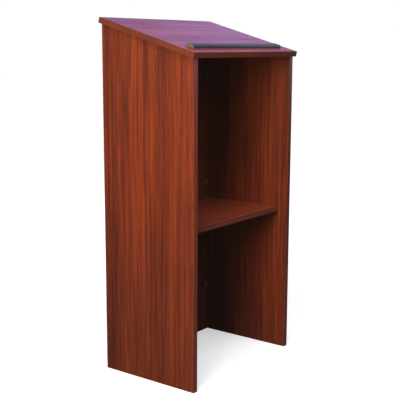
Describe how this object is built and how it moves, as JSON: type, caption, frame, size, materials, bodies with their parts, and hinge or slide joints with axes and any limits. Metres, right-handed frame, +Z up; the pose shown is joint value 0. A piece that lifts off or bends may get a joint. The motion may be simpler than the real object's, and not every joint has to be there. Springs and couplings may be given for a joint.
{
  "type": "presentation lectern",
  "caption": "Stand-up lectern of laminated boards with a sloped reading top, a book stop, a fixed shelf and an open speaker's side.",
  "frame": {"origin": "on the floor, at the centre of the overall box", "axes": "+X across the lectern, to the speaker's right; +Y from the open speaker's side to the audience; +Z up"},
  "size_m": [0.586, 0.3826, 1.168],
  "materials": {
    "laminate": "satin",
    "edge_band": "satin",
    "fibreboard": "matte",
    "foil": "satin",
    "beech": "matte",
    "zinc": "satin",
    "steel": "satin"
  },
  "bodies": {
    "root": {"back_connecting_bolts": "zinc", "back_connector_housings": "zinc", "back_dowels": "beech", "back_panel": "laminate", "book_stop": "fibreboard", "book_stop_foil": "foil", "book_stop_screws": "steel", "left_side_edge_bands": "edge_band", "left_side_panel": "laminate", "right_side_edge_bands": "edge_band", "right_side_panel": "laminate", "shelf": "laminate", "shelf_connecting_bolts": "zinc", "shelf_connector_housings": "zinc", "shelf_dowels": "beech", "shelf_edge_band": "edge_band", "top_connecting_bolts": "zinc", "top_connector_housings": "zinc", "top_dowels": "beech", "top_edge_bands": "edge_band", "top_panel": "laminate"},
    "cam_back_left_low": {"cam_back_left_low": "zinc"},
    "cam_back_left_middle": {"cam_back_left_middle": "zinc"},
    "cam_back_left_high": {"cam_back_left_high": "zinc"},
    "cam_shelf_left_front": {"cam_shelf_left_front": "zinc"},
    "cam_shelf_left_rear": {"cam_shelf_left_rear": "zinc"},
    "cam_top_left_front": {"cam_top_left_front": "zinc"},
    "cam_top_left_rear": {"cam_top_left_rear": "zinc"},
    "cam_back_right_low": {"cam_back_right_low": "zinc"},
    "cam_back_right_middle": {"cam_back_right_middle": "zinc"},
    "cam_back_right_high": {"cam_back_right_high": "zinc"},
    "cam_shelf_right_front": {"cam_shelf_right_front": "zinc"},
    "cam_shelf_right_rear": {"cam_shelf_right_rear": "zinc"},
    "cam_top_right_front": {"cam_top_right_front": "zinc"},
    "cam_top_right_rear": {"cam_top_right_rear": "zinc"}
  },
  "joints": [
    {"name": "cam_back_left_low_turn", "type": "hinge", "parent": "root", "child": "cam_back_left_low", "pos_m": [-0.2525, 0.16542, 0.181], "axis": [0, -1, 0], "range_deg": [0, 180]},
    {"name": "cam_back_left_middle_turn", "type": "hinge", "parent": "root", "child": "cam_back_left_middle", "pos_m": [-0.2525, 0.16542, 0.57717], "axis": [0, -1, 0], "range_deg": [0, 180]},
    {"name": "cam_back_left_high_turn", "type": "hinge", "parent": "root", "child": "cam_back_left_high", "pos_m": [-0.2525, 0.16542, 0.97333], "axis": [0, -1, 0], "range_deg": [0, 180]},
    {"name": "cam_shelf_left_front_turn", "type": "hinge", "parent": "root", "child": "cam_shelf_left_front", "pos_m": [-0.2525, -0.08658, 0.5], "axis": [0, 0, -1], "range_deg": [0, 180]},
    {"name": "cam_shelf_left_rear_turn", "type": "hinge", "parent": "root", "child": "cam_shelf_left_rear", "pos_m": [-0.2525, 0.10542, 0.5], "axis": [0, 0, -1], "range_deg": [0, 180]},
    {"name": "cam_top_left_front_turn", "type": "hinge", "parent": "root", "child": "cam_top_left_front", "pos_m": [-0.262, -0.09241, 1.06026], "axis": [1, 0, 0], "range_deg": [0, 180]},
    {"name": "cam_top_left_rear_turn", "type": "hinge", "parent": "root", "child": "cam_top_left_rear", "pos_m": [-0.262, 0.09001, 1.11205], "axis": [1, 0, 0], "range_deg": [0, 180]},
    {"name": "cam_back_right_low_turn", "type": "hinge", "parent": "root", "child": "cam_back_right_low", "pos_m": [0.2525, 0.16542, 0.181], "axis": [0, -1, 0], "range_deg": [0, 180]},
    {"name": "cam_back_right_middle_turn", "type": "hinge", "parent": "root", "child": "cam_back_right_middle", "pos_m": [0.2525, 0.16542, 0.57717], "axis": [0, -1, 0], "range_deg": [0, 180]},
    {"name": "cam_back_right_high_turn", "type": "hinge", "parent": "root", "child": "cam_back_right_high", "pos_m": [0.2525, 0.16542, 0.97333], "axis": [0, -1, 0], "range_deg": [0, 180]},
    {"name": "cam_shelf_right_front_turn", "type": "hinge", "parent": "root", "child": "cam_shelf_right_front", "pos_m": [0.2525, -0.08658, 0.5], "axis": [0, 0, -1], "range_deg": [0, 180]},
    {"name": "cam_shelf_right_rear_turn", "type": "hinge", "parent": "root", "child": "cam_shelf_right_rear", "pos_m": [0.2525, 0.10542, 0.5], "axis": [0, 0, -1], "range_deg": [0, 180]},
    {"name": "cam_top_right_front_turn", "type": "hinge", "parent": "root", "child": "cam_top_right_front", "pos_m": [0.262, -0.09241, 1.06026], "axis": [-1, 0, 0], "range_deg": [0, 180]},
    {"name": "cam_top_right_rear_turn", "type": "hinge", "parent": "root", "child": "cam_top_right_rear", "pos_m": [0.262, 0.09001, 1.11205], "axis": [-1, 0, 0], "range_deg": [0, 180]}
  ]
}
